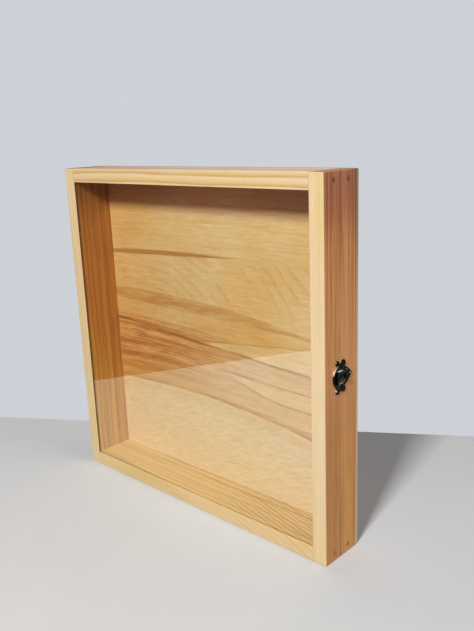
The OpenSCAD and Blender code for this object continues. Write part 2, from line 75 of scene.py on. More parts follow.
# %% A class that writes shader nodes
class Finish:
    """A chain of shader nodes in a material's, or the world's, node tree."""

    def __init__(self, owner):
        owner.use_nodes = True
        self.tree = owner.node_tree
        self.tree.nodes.clear()

    def node(self, kind, **settings):
        made = self.tree.nodes.new("ShaderNode" + kind)
        for setting, value in settings.items():
            setattr(made, setting, value)
        return made

    def feed(self, socket, value):
        if isinstance(value, bpy.types.NodeSocket):
            self.tree.links.new(value, socket)
        elif isinstance(value, (tuple, list)) and len(value) == 3 and socket.type == "RGBA":
            socket.default_value = (*value, 1)
        else:
            socket.default_value = value

    def math(self, operation, *values, clamp=False):
        made = self.node("Math", operation=operation, use_clamp=clamp)
        for socket, value in zip(made.inputs, values):
            self.feed(socket, value)
        return made.outputs[0]

    def add(self, *values):
        total = values[0]
        for value in values[1:]:
            total = self.math("ADD", total, value)
        return total

    def times(self, *values):
        product = values[0]
        for value in values[1:]:
            product = self.math("MULTIPLY", product, value)
        return product

    def less(self, first, second):
        return self.math("SUBTRACT", first, second)

    def step(self, value, low, high):
        """0 where value is low, 1 where it is high, and a smooth step between."""
        made = self.node("MapRange", interpolation_type="SMOOTHSTEP")
        for name, item in (("Value", value), ("From Min", low), ("From Max", high)):
            self.feed(made.inputs[name], item)
        return made.outputs[0]

    def colour(self, share, first, second, blend="MIX"):
        made = self.node("Mix", data_type="RGBA", blend_type=blend)
        for place, value in ((0, share), (6, first), (7, second)):
            self.feed(made.inputs[place], value)
        return made.outputs[2]

    def vector(self, x, y, z):
        made = self.node("CombineXYZ")
        for socket, value in zip(made.inputs, (x, y, z)):
            self.feed(socket, value)
        return made.outputs[0]

    def parts(self, vector):
        made = self.node("SeparateXYZ")
        self.feed(made.inputs[0], vector)
        return made.outputs[0], made.outputs[1], made.outputs[2]

    def scaled(self, vector, factors):
        made = self.node("VectorMath", operation="MULTIPLY")
        self.feed(made.inputs[0], vector)
        self.feed(made.inputs[1], factors)
        return made.outputs[0]

    def noise(self, where, size, detail=2.0, roughness=0.5):
        """Cloudy noise from 0 to 1 around 0.5, in patches of about size."""
        made = self.node("TexNoise", noise_dimensions="3D")
        made.inputs["Scale"].default_value = 1 / size
        made.inputs["Detail"].default_value = detail
        made.inputs["Roughness"].default_value = roughness
        self.feed(made.inputs["Vector"], where)
        return made.outputs["Fac"]

    def swing(self, where, size, reach, detail=1.0, seed=0.0):
        """A number that swings smoothly between -reach and reach as the number where grows."""
        made = self.node("TexNoise", noise_dimensions="1D")
        made.inputs["Scale"].default_value = 1.0
        made.inputs["Detail"].default_value = detail
        self.feed(made.inputs["W"], self.math("MULTIPLY_ADD", where, 1 / size, seed))
        return self.times(self.less(made.outputs["Fac"], 0.5), 2.6 * reach)

    def chance(self, number):
        """A random number from 0 to 1 for each whole number."""
        made = self.node("TexWhiteNoise", noise_dimensions="1D")
        self.feed(made.inputs["W"], number)
        return made.outputs["Value"]

    def ramp(self, value, *stops):
        made = self.node("ValToRGB")
        band = made.color_ramp
        while len(band.elements) < len(stops):
            band.elements.new(0.5)
        for element, (place, level) in zip(band.elements, stops):
            element.position = place
            element.color = (level, level, level, 1)
        self.feed(made.inputs[0], value)
        return made.outputs[0]

    def place_mm(self):
        """The point on the object in millimetres, which moves with the object."""
        return self.scaled(self.node("TexCoord").outputs["Object"], (1000, 1000, 1000))

    def facing(self):
        """The three parts of the surface's direction, in the object's own axes."""
        return self.parts(self.node("TexCoord").outputs["Normal"])

    def seen_directly(self):
        """1 for rays of the camera, of mirrors and through glass, 0 for soft light."""
        ray = self.node("LightPath").outputs
        sharp = self.math("MAXIMUM", ray["Is Glossy Ray"], ray["Is Transmission Ray"])
        return self.math("MAXIMUM", ray["Is Camera Ray"], sharp)

    def bump(self, height, depth):
        made = self.node("Bump")
        made.inputs["Distance"].default_value = depth
        self.feed(made.inputs["Height"], height)
        return made.outputs["Normal"]

    def surface(self, **inputs):
        """The closing shader. Names are those of the shader's sockets, with _ for a space."""
        shader = self.node("BsdfPrincipled")
        for name, value in inputs.items():
            self.feed(shader.inputs[name.replace("_", " ")], value)
        out = self.node("OutputMaterial")
        self.tree.links.new(shader.outputs[0], out.inputs["Surface"])
        return shader


def paint(material, *names):
    """Gives CAD nodes one finish."""
    for name in names:
        mesh = nodes[name].data
        mesh.materials.clear()
        mesh.materials.append(material)


print("a finish is written with", len([n for n in dir(Finish) if n[0] != "_"]), "kinds of step")

# %% [markdown]
# ## The floor
# The case stands on a pale table. A table rather than an endless floor matters here: the
# pane mirrors it, and the straight line across the lower half of the pane is the mirror
# image of the table's left edge. Two points of that line, mirrored back through the pane,
# give the table's left edge, and its rear edge is seen behind the case. For the light that
# it throws back at the case the table is dimmer than it looks, or the underside of the
# boards and the inside of the case would be too pale.

# %% Lay the table top
TABLE_CORNER = Vector((-0.6235, -0.1013, 0))
TABLE_REAR = math.radians(32.0)
TABLE_LEFT = math.radians(-61.2)
rear_edge = 2.3 * Vector((math.cos(TABLE_REAR), math.sin(TABLE_REAR), 0))
left_edge = 2.3 * Vector((math.cos(TABLE_LEFT), math.sin(TABLE_LEFT), 0))

table_mesh = bpy.data.meshes.new("table_top")
corners = [
    TABLE_CORNER,
    TABLE_CORNER + left_edge,
    TABLE_CORNER + left_edge + rear_edge,
    TABLE_CORNER + rear_edge,
]
table_mesh.from_pydata([tuple(c) for c in corners], [], [(0, 1, 2, 3)])
table = bpy.data.objects.new("table_top", table_mesh)
bpy.context.scene.collection.objects.link(table)

linen = bpy.data.materials.new("pale_table")
finish = Finish(linen)
spot = finish.place_mm()
cloudy = finish.noise(spot, 160)
pale = finish.colour(cloudy, (0.62, 0.64, 0.66), (0.66, 0.68, 0.70))
spot_x, spot_y, spot_z = finish.parts(spot)
# painted sheen: to mirror rays the table is warm at its left and bluish further right, standing for
# daylight glancing off the cloth
sheen = finish.colour(
    finish.step(finish.less(spot_x, finish.times(spot_y, 2)), 150, 650),
    (0.72, 0.78, 0.64),
    (0.74, 0.95, 0.98),
)
pale = finish.colour(finish.node("LightPath").outputs["Is Glossy Ray"], pale, sheen)
finish.surface(
    Base_Color=finish.colour(finish.seen_directly(), (0.28, 0.25, 0.22), pale),
    Roughness=0.8,
    Normal=finish.bump(finish.noise(spot, 3), 0.0001),
)
table_mesh.materials.append(linen)
print("table edges are", round(rear_edge.length, 2), "and", round(left_edge.length, 2), "m long")

# %% [markdown]
# ## Daylight in the room
# A photograph's soft shadows need two things: broad lamps, and a room that is pale all
# round. The room is the world here. Light Path tells it what kind of ray is asking: the
# camera and mirror-like rays see a pale grey-blue wall, while the soft light that falls on
# the case is set by numbers of its own. It comes mostly from behind and above. The front
# gives less, so that the inside of the case stays deep and warm. In front of the case the
# room is dim to mirror-like rays, so that the pane is only veiled where it mirrors the
# table.

# %% Set the world
world = bpy.data.worlds.new("room")
bpy.context.scene.world = world
sky = Finish(world)
sky_x, sky_y, up = sky.parts(sky.node("TexCoord").outputs["Generated"])
WALL = (0.612, 0.640, 0.680)
DIM_ROOM = (0.036, 0.030, 0.026)
ray = sky.node("LightPath").outputs
behind = sky.times(sky.step(sky_y, 0.3, 0.8), sky.step(up, -0.12, 0.02))
mirrored = sky.colour(behind, DIM_ROOM, WALL)
seen = sky.colour(ray["Is Camera Ray"], mirrored, WALL)
around = sky.colour(sky.step(sky_y, -0.35, 0.35), (0.075, 0.060, 0.060), (0.42, 0.42, 0.43))
soft = sky.colour(sky.step(up, -0.3, 0.3), (0.20, 0.17, 0.14), around)
picked = sky.colour(sky.seen_directly(), soft, seen)
background = sky.node("Background")
sky.feed(background.inputs["Color"], picked)
sky.tree.links.new(background.outputs[0], sky.node("OutputWorld").inputs["Surface"])
print("the wall is", WALL, "and the dim room", DIM_ROOM)

# %% [markdown]
# ## Two lamps
# The main lamp stands for a window in front of the case, to the right and 34 degrees up.
# Its height is read from the shadow of the top board on the plywood, its place to the right
# from how bright the inside of the left board is, and its size from how soft the shadow's
# edge is. A broad warm lamp at the right lifts the side with the latch a little.

# %% Set up the lamps
def lamp(name, way, distance, size, power, tint):
    """A square soft lamp that stands the given way from the middle of the case."""
    middle = Vector((0, 0, case_h / 2))
    data = bpy.data.lights.new(name, "AREA")
    data.size = size
    data.energy = power
    data.color = tint
    made = bpy.data.objects.new(name, data)
    made.location = middle + distance * Vector(way).normalized()
    made.rotation_euler = (middle - made.location).to_track_quat("-Z", "Y").to_euler()
    bpy.context.scene.collection.objects.link(made)
    return made


window_light = lamp("window_light", (0.35, -1, 0.72), 3.1, 0.50, 106, (1.0, 0.98, 0.95))
side_light = lamp("side_light", (1, 0.28, 0.22), 2.4, 1.2, 7, (1.0, 0.84, 0.70))
print("lamps:", [(one.name, one.data.energy) for one in (window_light, side_light)])

# %% [markdown]
# ## Varnished pine
# A pine board shows where the saw passed through the tree's growth rings. Each ring is a
# wide pale band of early wood that darkens to a thin line of late wood and then starts
# again. A picture of grain wrapped round a board never meets at the edges. Here the tree
# itself is described: rings round a pith line that lies outside the board and bends a
# little on its way. Whatever face the board has, the rings meet it as they would in wood,
# as straight lines, as flames, or as arcs on the end grain.

# %% Tools for the pine
opening_half = case_w / 2 / MM - 19.05
height_mm = case_h / MM


def tree_rings(f, across, deep, along, tree, seed):
    """Late wood from 0 to 1, in rings round a pith that bends along the board."""
    lean_start, lean = tree["lean"]
    slant_start, slant = tree["slant"]
    past_lean = f.math("MAXIMUM", f.less(along, lean_start), 0.0)
    past_slant = f.math("SMOOTH_MAX", f.less(along, slant_start), 0.0, 70.0)
    from_pith = f.vector(
        f.add(across, -tree["pith"][0], f.swing(along, 260, tree["bow"], 1, seed),
              f.times(past_lean, lean)),
        f.add(deep, -tree["pith"][1], f.swing(along, 340, tree["bow"], 1, seed + 7.3),
              f.times(past_slant, slant)),
        0.0,
    )
    distance = f.node("VectorMath", operation="LENGTH")
    f.feed(distance.inputs[0], from_pith)
    unrest = f.noise(f.vector(across, deep, f.times(along, 0.09)), 16, 2)
    unrest = f.times(f.less(unrest, 0.5), 0.7 * tree["ring"])
    age = f.times(f.add(distance.outputs["Value"], unrest), 1 / tree["ring"])
    year = f.math("FLOOR", age)
    season = f.math("FRACT", age)
    late = f.ramp(season, (0, 0), (0.25, 0.05), (0.62, 0.45), (0.86, 1), (0.98, 0))
    vigour = f.math("POWER", f.chance(f.add(year, seed)), 1.5)
    vigour = f.math("MULTIPLY_ADD", vigour, 1 - tree["even"], tree["even"])
    clear = f.math("MULTIPLY_ADD", f.step(along, *tree["clear"]), 0.8, 0.2)
    return f.times(late, vigour, clear)


def glue_line(f, x, z):
    """1 on the thin line where a level board meets an upright."""
    off_joint = f.math("ABSOLUTE", f.less(f.math("ABSOLUTE", x), opening_half))
    off_middle = f.math("ABSOLUTE", f.less(z, height_mm / 2))
    in_corner = f.step(off_middle, height_mm / 2 - 19.3, height_mm / 2 - 18.9)
    return f.times(f.step(off_joint, 0.32, 0.12), in_corner)


print("the opening is", 2 * opening_half, "mm wide")

# %% [markdown]
# ## The four boards
# The front faces are painted pale and cream, as if lit, and the other faces amber, as if in
# shade: a painted light and shade. Over the rings lie three finer things: long streaks that
# change the tone, fibres, and the short dark dashes of resin canals. Each of the four boards
# has its own tree, and runs on over the saw cut between door and tray.

# %% The finish of a pine board
CREAM = ((0.77, 0.595, 0.37), (0.74, 0.575, 0.27))
CREAM_LATE = (0.52, 0.31, 0.095)


def pine(name, upright, tree, amber, lines, seed=0.0, tones=(), cream=CREAM):
    """Varnished pine. amber is the pair of early and late wood, and lines says how strongly
    the rings show on the amber faces and on the cream front. Each of the tones is a pair of
    places along the board and the colour that the amber faces are multiplied by past the
    second. A further pair keeps the tone to one part of the depth."""
    material = bpy.data.materials.new(name)
    f = Finish(material)
    x, y, z = f.parts(f.place_mm())
    nx, ny, nz = f.facing()
    across, along = (x, z) if upright else (z, x)
    end_way = nz if upright else nx
    # front is 1 on the front faces, which get the pale cream of painted light; the other faces keep the
    # amber of painted shade
    front = f.times(f.step(f.times(ny, -1), 0.25, 0.8), f.step(y, front_mm + 1.6, front_mm + 0.9))
    front = f.math("MAXIMUM", front, f.times(f.step(y, front_mm + 1.3, front_mm + 0.7), 0.7))
    late = tree_rings(f, across, y, along, tree, seed)

    # Long streaks, broad clouds, fibres and resin canals
    streak = f.noise(f.vector(across, y, f.math("MULTIPLY_ADD", along, 0.012, seed)), 4.5, 3, 0.6)
    stripe = f.noise(f.vector(across, y, f.math("MULTIPLY_ADD", along, 0.03, seed)), 2.4, 4, 0.7)
    cloud = f.noise(f.vector(across, y, f.math("MULTIPLY_ADD", along, 0.25, seed)), 40, 2)
    fibre = f.noise(f.vector(across, y, f.times(along, 0.016)), 0.8, 3, 0.65)
    canal = f.noise(f.vector(across, y, f.times(along, 0.1)), 0.7, 1)
    canal = f.step(canal, 0.68, 0.76)

    shaded_side_wood = f.colour(f.times(late, lines[0]), *amber)
    shaded_side_wood = f.colour(f.times(f.step(streak, 0.42, 0.72), 0.5), shaded_side_wood, amber[1])
    shaded_side_wood = f.colour(f.times(f.step(stripe, 0.5, 0.75), 0.7), shaded_side_wood, amber[1])
    for start, end, stain, *depths in tones:
        reach = f.step(f.add(along, f.times(f.less(cloud, 0.5), 120)), start, end)
        for depth in depths:
            reach = f.times(reach, f.step(y, *depth))
        shaded_side_wood = f.colour(reach, shaded_side_wood, stain, "MULTIPLY")
    early_cream = f.colour(f.step(cloud, 0.4, 0.65), *cream)
    lit_front_wood = f.colour(f.times(late, lines[1]), early_cream, CREAM_LATE)
    lit_front_wood = f.colour(f.times(f.step(streak, 0.5, 0.75), 0.4), lit_front_wood, (0.66, 0.46, 0.19))
    lit_front_wood = f.colour(f.times(f.step(stripe, 0.55, 0.8), 0.4), lit_front_wood, (0.60, 0.40, 0.16))
    colour = f.colour(front, shaded_side_wood, lit_front_wood)
    tone = f.math("MULTIPLY_ADD", fibre, 0.28, 0.86)
    colour = f.colour(1.0, colour, f.vector(tone, tone, tone), "MULTIPLY")
    colour = f.colour(f.times(canal, 0.3), colour, (0.30, 0.14, 0.05))

    # End grain drinks varnish and turns brown, and so does the glue line
    end = f.step(f.math("ABSOLUTE", end_way), 0.6, 0.9)
    colour = f.colour(f.times(end, 0.55), colour, (0.32, 0.16, 0.06))
    colour = f.colour(f.times(glue_line(f, x, z), 0.5), colour, (0.20, 0.09, 0.03))

    # The saw cut is painted dark on the outer faces, a painted shade in the narrow gap, most
    # towards the corners; the rear arris next to the plywood is painted dark too, most high up
    off_middle = f.math("ABSOLUTE", f.less(z, height_mm / 2))
    outside = f.math("MAXIMUM", f.math("ABSOLUTE", x), off_middle)
    outside = f.step(outside, height_mm / 2 - 1, height_mm / 2 - 0.5)
    in_cut = f.step(f.math("ABSOLUTE", f.less(y, seam_mm)), 0.9, 0.3)
    in_cut = f.times(in_cut, f.math("MULTIPLY_ADD", f.step(off_middle, 70, 200), 0.6, 0.2))
    at_back = f.times(f.step(f.less(back_mm, y), 2.4, 0.7), 0.9)
    at_back = f.times(at_back, f.math("MULTIPLY_ADD", f.step(z, 290, 430), 0.85, 0.15))
    dark_cut_and_rear = f.times(f.math("MAXIMUM", in_cut, at_back), outside)
    colour = f.colour(dark_cut_and_rear, colour, (0.09, 0.032, 0.010))

    # A dark line is painted round the edge of the pane, on the lip and in the groove: painted
    # shade where the pane sits in its groove
    groove_shade = f.times(f.step(y, front_mm + 0.7, front_mm + 1.3), f.step(y, front_mm + 5.6, front_mm + 4.4))
    groove_shade = f.times(groove_shade, f.less(1, outside), 0.7 if upright else 0.12)
    colour = f.colour(groove_shade, colour, (0.19, 0.07, 0.02))

    shiny = f.add(f.times(late, -0.05), f.times(fibre, 0.16), 0.32, f.times(end, 0.15))
    relief = f.add(f.times(fibre, 0.6), f.times(late, 0.4), f.times(canal, -0.5))
    f.surface(
        Base_Color=colour,
        Roughness=shiny,
        Coat_Weight=0.15,
        Coat_Roughness=0.22,
        Normal=f.bump(relief, 0.00006),
    )
    return material


# %% Varnish the four boards
front_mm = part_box("door_top_rail")[0].y / MM
seam_mm = (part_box("door_top_rail")[1].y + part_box("tray_top_board")[0].y) / 2 / MM
back_mm = case_low.y / MM
AMBER = ((0.88, 0.62, 0.34), (0.60, 0.33, 0.12))
RED_AMBER = ((0.82, 0.41, 0.155), (0.40, 0.12, 0.029))
DEEP_AMBER = ((0.58, 0.235, 0.042), (0.26, 0.065, 0.009))
GOLD_AMBER = ((0.86, 0.58, 0.195), (0.33, 0.12, 0.010))
STRAIGHT = (1000, 0.0)
EVERYWHERE = (-1000, -900)
RED_TOP = (360, 440, (0.68, 0.53, 0.66))
BROWN_FOOT = (250, 100, (0.75, 0.66, 0.44))
DOOR_HALF = (6, -12)
TRAY_HALF = (-12, 6)
BROWN_DOOR = (340, 220, (0.92, 0.84, 0.80), DOOR_HALF)
PALE_DOOR_FOOT = (180, 90, (1.10, 1.18, 1.15), DOOR_HALF)
PALE_TRAY = (420, 330, (1.05, 1.04, 1.20), TRAY_HALF)
PALE_TRAY_FOOT = (180, 110, (1.19, 1.29, 1.12), TRAY_HALF)
PALE_MIDDLE = (370, 290, (1.10, 1.12, 1.24))
PALE_FOOT = (290, 120, (1.22, 1.65, 1.42))
RED_REAR = (265, 215, (0.92, 0.82, 0.90), (4, 14))
# painted shadow of the top board, darkening the top of the left board's inner face
LEFT_BOARD_TOP_SHADOW = (385, 430, (0.60, 0.65, 0.63))
GOLDEN_CREAM = ((0.75, 0.56, 0.30), (0.69, 0.49, 0.21))

right_tree = {"pith": (275.0, -3), "ring": 2.7, "bow": 0.25, "even": 0.5, "clear": (180, 400)}
left_tree = {"pith": (-290, 40), "ring": 5.1, "bow": 1.4, "even": 0.3, "clear": EVERYWHERE}
top_tree = {"pith": (510, -8), "ring": 9.3, "bow": 1.4, "even": 0.8, "clear": EVERYWHERE}
bottom_tree = {"pith": (-34, -70), "ring": 5.2, "bow": 1.3, "even": 0.6, "clear": (0, 120)}
right_tree.update(lean=(150, -0.006), slant=STRAIGHT)
left_tree.update(lean=STRAIGHT, slant=STRAIGHT)
top_tree.update(lean=STRAIGHT, slant=STRAIGHT)
bottom_tree.update(lean=STRAIGHT, slant=(20, 0.26))
right_board = pine("pine_right_upright", True, right_tree, RED_AMBER, (1.0, 0.4), 3.0,
                   (RED_TOP, BROWN_FOOT, BROWN_DOOR, PALE_DOOR_FOOT, PALE_TRAY, PALE_TRAY_FOOT))
left_board = pine("pine_left_upright", True, left_tree, DEEP_AMBER, (0.9, 0.4), 11.0,
                  (PALE_MIDDLE, PALE_FOOT, RED_REAR, LEFT_BOARD_TOP_SHADOW))
top_board = pine("pine_top_board", False, top_tree, AMBER, (0.8, 0.95), 23.0)
bottom_board = pine("pine_bottom_board", False, bottom_tree, GOLD_AMBER, (0.95, 0.5), 37.0,
                    (), GOLDEN_CREAM)
paint(right_board, "door_right_stile", "tray_right_side")
paint(left_board, "door_left_stile", "tray_left_side")
paint(top_board, "door_top_rail", "tray_top_board")
paint(bottom_board, "door_bottom_rail", "tray_bottom_board")
print("four boards varnished; the saw cut is at y =", round(seam_mm, 2), "mm")

# %% [markdown]
# ## The pane
# Window glass hides nothing and mirrors a little, more so at a low angle. A solid of glass
# would also bend the light and shade the inside. A thin pane doesn't, so it is mixed from
# two plain shaders: one that lets rays through and one that mirrors them. Fresnel gives
# the share that is mirrored. The far side of the pane mirrors nothing, and the near side
# mirrors for both.

# %% The finish of the pane
glass = bpy.data.materials.new("window_glass")
f = Finish(glass)
spot = f.place_mm()
mirror_share = f.node("Fresnel")
mirror_share.inputs["IOR"].default_value = 1.5
near_side = f.less(1.0, f.node("NewGeometry").outputs["Backfacing"])
clear = f.node("BsdfTransparent")
clear.inputs["Color"].default_value = (0.975, 0.99, 0.985, 1)
mirror = f.node("BsdfGlossy")
smears = f.noise(spot, 38, 4, 0.6)
f.feed(mirror.inputs["Roughness"], f.times(f.step(smears, 0.45, 0.8), 0.08))
mirror.inputs["Color"].default_value = (1, 1, 1, 1)
mixed = f.node("MixShader")
f.feed(mixed.inputs[0], f.times(mirror_share.outputs[0], near_side, 2.6))
f.tree.links.new(clear.outputs[0], mixed.inputs[1])
f.tree.links.new(mirror.outputs[0], mixed.inputs[2])
f.tree.links.new(mixed.outputs[0], f.node("OutputMaterial").inputs["Surface"])
paint(glass, "glass_pane")
print("the pane mirrors 2.6 times the share of one glass surface")

# %% [markdown]
# ## The plywood back
# Its face is a sheet that was peeled from a turning log, so the figure is broad and
# flowing: golden sapwood with a brown heart that fans out to the right. Such a figure has
# no rule that would draw it, so its edges are described one by one, as gentle curves over
# the width, and noise that follows the fan fills it with streaks.

# %% Tools for the figure of the veneer
def curve(f, x, shape):
    """Height in mm of a parabola over x."""
    base, slope, bend = shape
    return f.add(base, f.times(x, slope), f.times(x, x, bend))


def between(f, x, level, low, high, soft_low, soft_high):
    """1 between two curves, with an edge as soft as is asked, in mm, at each."""
    over = f.less(level, curve(f, x, low))
    under = f.less(curve(f, x, high), level)
    return f.times(f.step(over, 0, soft_low), f.step(under, 0, soft_high))


def line(f, x, level, shape, below, above):
    """1 on a curve, falling to 0 at below mm under it and above mm over it."""
    height = f.less(level, curve(f, x, shape))
    return f.times(f.step(height, -below, 0), f.step(height, above, 0))


# The edges of the figure: height at the middle, slope and bend
HEART_LOW = (136.6, -0.0398, -0.000344)
HEART_HIGH = (230.5, -0.0511, -0.000151)
FORK = (214.6, -0.063, 0.0)
BAND_LOW = (256.6, -0.0244, -0.000028)
BAND_HIGH = (272.5, -0.0756, -0.000316)
RIGHT_UPPER = (184.9, -0.0675, 0.000211)
RIGHT_LOWER = (186.5, -0.3975, 0.001292)
STREAK_LOW = (338.4, 0.0479, 0.000011)
STREAK_HIGH = (342.5, -0.0072, -0.000199)
BRANCH = (222.7, 0.13, -0.00021)
HEART_FOOT = (139.6, -0.04, 0.0)
print("the heart is", HEART_HIGH[0] - HEART_LOW[0], "mm high in the middle of the back")

# %% The finish of the plywood
plywood = bpy.data.materials.new("veneered_plywood")
f = Finish(plywood)
spot = f.place_mm()
x, y, z = f.parts(spot)
nx, ny, nz = f.facing()
drift = f.noise(f.vector(f.times(x, 0.2), 0.0, z), 26, 3)
level = f.add(z, f.times(f.less(drift, 0.5), 7))

# Golden sapwood: soft clouds, long fine grain, and the nested arches of the peeled sheet
cloud = f.noise(f.vector(f.times(x, 0.6), 0.0, z), 60, 2)
grain = f.noise(f.vector(f.times(x, 0.03), y, level), 2.6, 4, 0.65)
fleck = f.noise(f.vector(f.times(x, 0.16), y, z), 2.2, 3, 0.65)
fibre = f.noise(f.vector(f.times(x, 0.03), y, z), 0.8, 2, 0.6)
arch_place = f.vector(f.times(f.add(x, 134), 0.6), 0.0, f.less(level, 242))
arch = f.node("VectorMath", operation="LENGTH")
f.feed(arch.inputs[0], arch_place)
arch_wave = f.add(f.times(arch.outputs["Value"], 1 / 12), f.times(cloud, 2.0))
arches = f.ramp(f.math("FRACT", arch_wave), (0, 0), (0.6, 0.2), (0.9, 1), (1, 0))
arches = f.times(arches, f.step(z, 265, 285), f.step(z, 350, 330), f.step(fleck, 0.35, 0.55))
arches = f.times(arches, f.step(cloud, 0.40, 0.58))
colour = f.colour(f.step(cloud, 0.35, 0.7), (0.89, 0.67, 0.37), (0.86, 0.60, 0.275))
colour = f.colour(f.times(f.step(grain, 0.45, 0.66), 0.32), colour, (0.70, 0.41, 0.125))
colour = f.colour(f.times(arches, 0.55), colour, (0.58, 0.32, 0.09))
curl = f.noise(f.vector(x, 0.0, f.times(z, 0.07)), 9, 2)
curl = f.times(f.step(curl, 0.4, 0.65), f.step(z, 225, 250), f.step(z, 345, 320))
colour = f.colour(f.times(curl, 0.16), colour, (0.92, 0.74, 0.42))
# Painted warm light: the veneer is warmed at the left, as by light thrown back from the left board, and
# in a patch right of the middle
warm = f.times(f.step(x, 0, 45), f.step(x, 130, 90), f.step(level, 345, 315))
warm = f.times(f.add(f.step(x, -40, -170), warm), f.step(level, 205, 235))
colour = f.colour(warm, colour, (0.98, 0.89, 0.70), "MULTIPLY")
under_heart = f.step(f.less(curve(f, x, HEART_LOW), level), 0, 8)
colour = f.colour(f.times(under_heart, 0.8), colour, (0.80, 0.565, 0.30))
rising = f.vector(f.add(f.times(x, 0.12), f.times(z, 0.05)), 0.0, f.add(z, f.times(x, -0.36)))
comb = f.step(f.noise(rising, 3.4, 3, 0.65), 0.45, 0.7)
colour = f.colour(f.times(under_heart, comb, 0.42), colour, (0.62, 0.37, 0.12))
close_under = f.step(f.less(curve(f, x, HEART_LOW), level), 24, 6)
colour = f.colour(close_under, colour, (0.94, 0.88, 0.80), "MULTIPLY")

# The fan of the heart: noise whose rows follow the two edges of the heart
fan_height = f.less(curve(f, x, HEART_HIGH), curve(f, x, HEART_LOW))
fan = f.math("DIVIDE", f.less(level, curve(f, x, HEART_LOW)), fan_height)
fan_place = f.vector(f.times(x, 0.022), 0.0, f.times(fan, 94))
broad = f.noise(fan_place, 13, 3, 0.55)
broken = f.noise(f.vector(f.times(x, 0.10), 0.0, f.times(fan, 94)), 4.5, 4, 0.7)
narrow = f.noise(fan_place, 3.4, 3, 0.6)
narrow = f.add(f.times(narrow, 0.5), f.times(broken, 0.5))
heart = between(f, x, level, HEART_LOW, HEART_HIGH, 3, 5)
wedge = f.times(between(f, x, level, FORK, BRANCH, 3, 2), f.step(x, -40, 0))
pale_gap = between(f, x, level, RIGHT_LOWER, RIGHT_UPPER, 3, 2)
pale_gap = f.times(pale_gap, f.step(x, 20, 45))
fade = f.math("MULTIPLY_ADD", f.step(x, -110, 90), -0.62, 1.0)
heart = f.times(heart, f.less(1, wedge), f.less(1, f.times(pale_gap, 0.85)), fade)
heart_wood = f.colour(f.step(broad, 0.38, 0.62), (0.50, 0.165, 0.032), (0.82, 0.43, 0.14))
heart_wood = f.colour(f.times(f.step(narrow, 0.48, 0.60), 0.74), heart_wood, (0.38, 0.11, 0.018))
colour = f.colour(f.times(heart, f.step(x, 0, 120), 0.4), colour, (0.82, 0.61, 0.39))
low_heart = f.step(fan, 0.5, 0.1)
heart_wood = f.colour(f.times(low_heart, 0.55), heart_wood, (0.74, 0.40, 0.10))
colour = f.colour(heart, colour, heart_wood)

# The paler band over the heart, and the lens-shaped streak above it
band = between(f, x, level, BAND_LOW, BAND_HIGH, 3, 4)
smoke = f.noise(f.vector(f.times(x, 0.12), 9.0, level), 7, 4, 0.65)
band = f.times(band, f.math("MULTIPLY_ADD", f.step(smoke, 0.3, 0.7), 0.6, 0.35))
over_heart = between(f, x, level, HEART_HIGH, BAND_LOW, 2, 2)
over_heart = f.times(over_heart, f.math("MULTIPLY_ADD", f.step(x, 150, 90), 0.6, 0.4))
over_branch = f.step(f.less(level, curve(f, x, BRANCH)), -2, 3)
over_heart = f.times(over_heart, f.math("MAXIMUM", over_branch, f.step(x, 0, -40)))
over_heart = f.times(over_heart, f.math("MULTIPLY_ADD", f.step(x, -30, -110), -0.4, 1.0))
stained = f.math("MULTIPLY_ADD", f.step(smoke, 0.3, 0.65), 0.45, 0.25)
colour = f.colour(f.times(over_heart, stained), colour, (0.72, 0.36, 0.09))
colour = f.colour(band, colour, (0.58, 0.26, 0.06))
foot = between(f, x, level, HEART_LOW, HEART_FOOT, 1, 3)
foot = f.times(foot, f.step(x, -20, 30), 0.9)
colour = f.colour(foot, colour, (0.87, 0.70, 0.54), "MULTIPLY")
# Painted shadow of the top board: the veneer is darkened in a band under it, most of all in the upper
# corners
shadow_under_top_board = f.step(z, 385, 425)
colour = f.colour(shadow_under_top_board, colour, (0.92, 0.70, 1.0), "MULTIPLY")
colour = f.colour(f.step(z, 415, 432), colour, (0.86, 0.86, 0.86), "MULTIPLY")
shaded_corner = f.math("MAXIMUM", f.step(x, -20, -120), f.times(f.step(x, 40, 110), 0.6))
colour = f.colour(f.times(shaded_corner, f.step(z, 395, 425)), colour, (0.80, 0.77, 0.76), "MULTIPLY")
lens = between(f, x, z, STREAK_LOW, STREAK_HIGH, 0.6, 2.0)
colour = f.colour(f.times(lens, 0.85), colour, (0.48, 0.20, 0.042))

# Thin dark lines along the edges
edge_lines = (
    (STREAK_LOW, 0.8, 1.6, 0.8, (80, 30)),
    (BAND_HIGH, 4.0, 1.6, 0.55, (240, 200)),
    (BAND_LOW, 2.0, 3.0, 0.65, (240, 200)),
    (HEART_HIGH, 3.4, 1.6, 0.75, (60, 20)),
    (FORK, 3.4, 1.6, 1.0, (240, 200)),
    (BRANCH, 2.2, 1.6, 0.6, (240, 200)),
    (RIGHT_UPPER, 3.0, 1.6, 0.95, (240, 200)),
    (RIGHT_LOWER, 2.4, 2.0, 0.85, (240, 200)),
    (HEART_LOW, 1.6, 4.5, 0.95, (240, 200)),
    (HEART_FOOT, 1.6, 3.0, 0.75, (150, 90)),
)
left_ends = {RIGHT_UPPER: -20, RIGHT_LOWER: 25, BRANCH: -35, HEART_FOOT: -60}
for shape, below, above, strength, right_end in edge_lines:
    mark = f.times(line(f, x, level, shape, below, above), strength, f.step(x, *right_end))
    mark = f.times(mark, f.math("MULTIPLY_ADD", f.step(smoke, 0.35, 0.6), 0.65, 0.35))
    if shape in left_ends:
        mark = f.times(mark, f.step(x, left_ends[shape], left_ends[shape] + 40))
    colour = f.colour(mark, colour, (0.62, 0.42, 0.10), "MULTIPLY")
tone = f.add(f.times(fibre, 0.24), f.times(fleck, 0.46), 0.65)
colour = f.colour(1.0, colour, f.vector(tone, tone, tone), "MULTIPLY")
print("face veneer drawn with", len(edge_lines), "edge lines")
